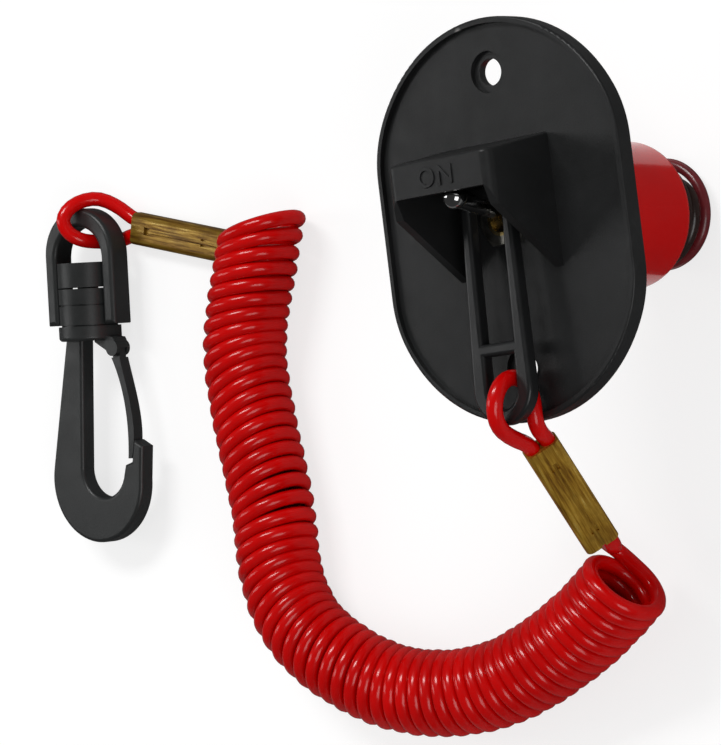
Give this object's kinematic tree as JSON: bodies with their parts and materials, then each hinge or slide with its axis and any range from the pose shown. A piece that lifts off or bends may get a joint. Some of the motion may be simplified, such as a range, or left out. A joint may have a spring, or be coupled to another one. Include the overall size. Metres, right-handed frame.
{
  "type": "engine kill switch with coiled lanyard",
  "caption": "Panel-mounted engine kill switch: hooded faceplate, toggle in a red housing, pull-off key, coiled red lanyard, brass crimps and a swivel snap hook.",
  "frame": {"origin": "centre of the faceplate's back face, midway between its two screw holes", "axes": "+Z out of the panel along the screws, +Y towards the closed side of the hood, +X to the right"},
  "size_m": [0.2187, 0.1482, 0.0766],
  "materials": {
    "plate_black": "satin moulded nylon with a faint moulding texture",
    "key_black": "smooth moulded nylon",
    "hook_black": "moulded acetal with seam lines",
    "housing_red": "glossy red vinyl cup",
    "cord_red": "glossy red vinyl cord",
    "crimp_brass": "pressed brass, streaked and tarnished",
    "contact_brass": "stamped brass",
    "lever_chrome": "polished plating",
    "zinc_steel": "zinc plated",
    "spring_steel": "drawn wire",
    "case_brown": "phenolic moulding",
    "grommet_rubber": "soft black rubber",
    "lead_black_skin": "satin black-brown wire insulation",
    "lead_maroon_skin": "satin maroon wire insulation",
    "copper_strand": "stripped tinned copper strand"
  },
  "bodies": {
    "switch": {"faceplate": "plate_black", "red_housing": "housing_red", "wire_grommet": "grommet_rubber", "bushing": "contact_brass", "hex_nut": "zinc_steel", "lock_washer": "zinc_steel", "pivot_pin": "zinc_steel", "switch_case": "case_brown", "terminal_board": "case_brown", "terminal_common": "contact_brass", "terminal_run": "contact_brass", "lead_black": "lead_black_skin", "lead_red": "lead_maroon_skin", "lead_black_coil": "lead_black_skin", "lead_red_coil": "lead_maroon_skin", "lead_black_end": "copper_strand", "lead_red_end": "copper_strand"},
    "toggle": {"toggle_lever": "lever_chrome", "lever_plunger": "case_brown", "lever_spring": "spring_steel"},
    "rocker": {"contact_rocker": "contact_brass"},
    "lanyard": {"kill_key": "key_black", "key_loop": "cord_red", "key_crimp": "crimp_brass", "lanyard_coil": "cord_red", "hook_loop": "cord_red", "hook_crimp": "crimp_brass", "swivel_yoke": "hook_black"},
    "hook": {"snap_hook": "hook_black", "gate_pin": "zinc_steel"},
    "gate": {"hook_gate": "hook_black"}
  },
  "joints": [
    {"name": "key_pull", "type": "slide", "parent": "switch", "child": "lanyard", "axis": [0, -1, 0], "range_m": [0, 0.00385]},
    {"name": "toggle_flip", "type": "hinge", "parent": "switch", "child": "toggle", "pos_m": [0, 0, 0.0014], "axis": [1, 0, 0], "range_deg": [0, 34]},
    {"name": "rocker_tilt", "type": "hinge", "parent": "switch", "child": "rocker", "pos_m": [0, 0, -0.0084], "axis": [1, 0, 0], "range_deg": [-16, 0]},
    {"name": "hook_swivel", "type": "hinge", "parent": "lanyard", "child": "hook", "pos_m": [-0.16956, 0.00498, -0.0465], "axis": [0.089, 0.996, 0], "continuous": true},
    {"name": "gate_open", "type": "hinge", "parent": "hook", "child": "gate", "pos_m": [-0.16184, -0.00866, -0.0465], "axis": [0, 0, -1], "range_deg": [0, 20], "stiffness_Nm_per_rad": 0.004, "springref_deg": -4.58}
  ],
  "couplings": [
    {"joint": "toggle_flip", "follows": "key_pull", "rad_per_m": 154.04},
    {"joint": "rocker_tilt", "follows": "key_pull", "rad_per_m": -72.44}
  ]
}
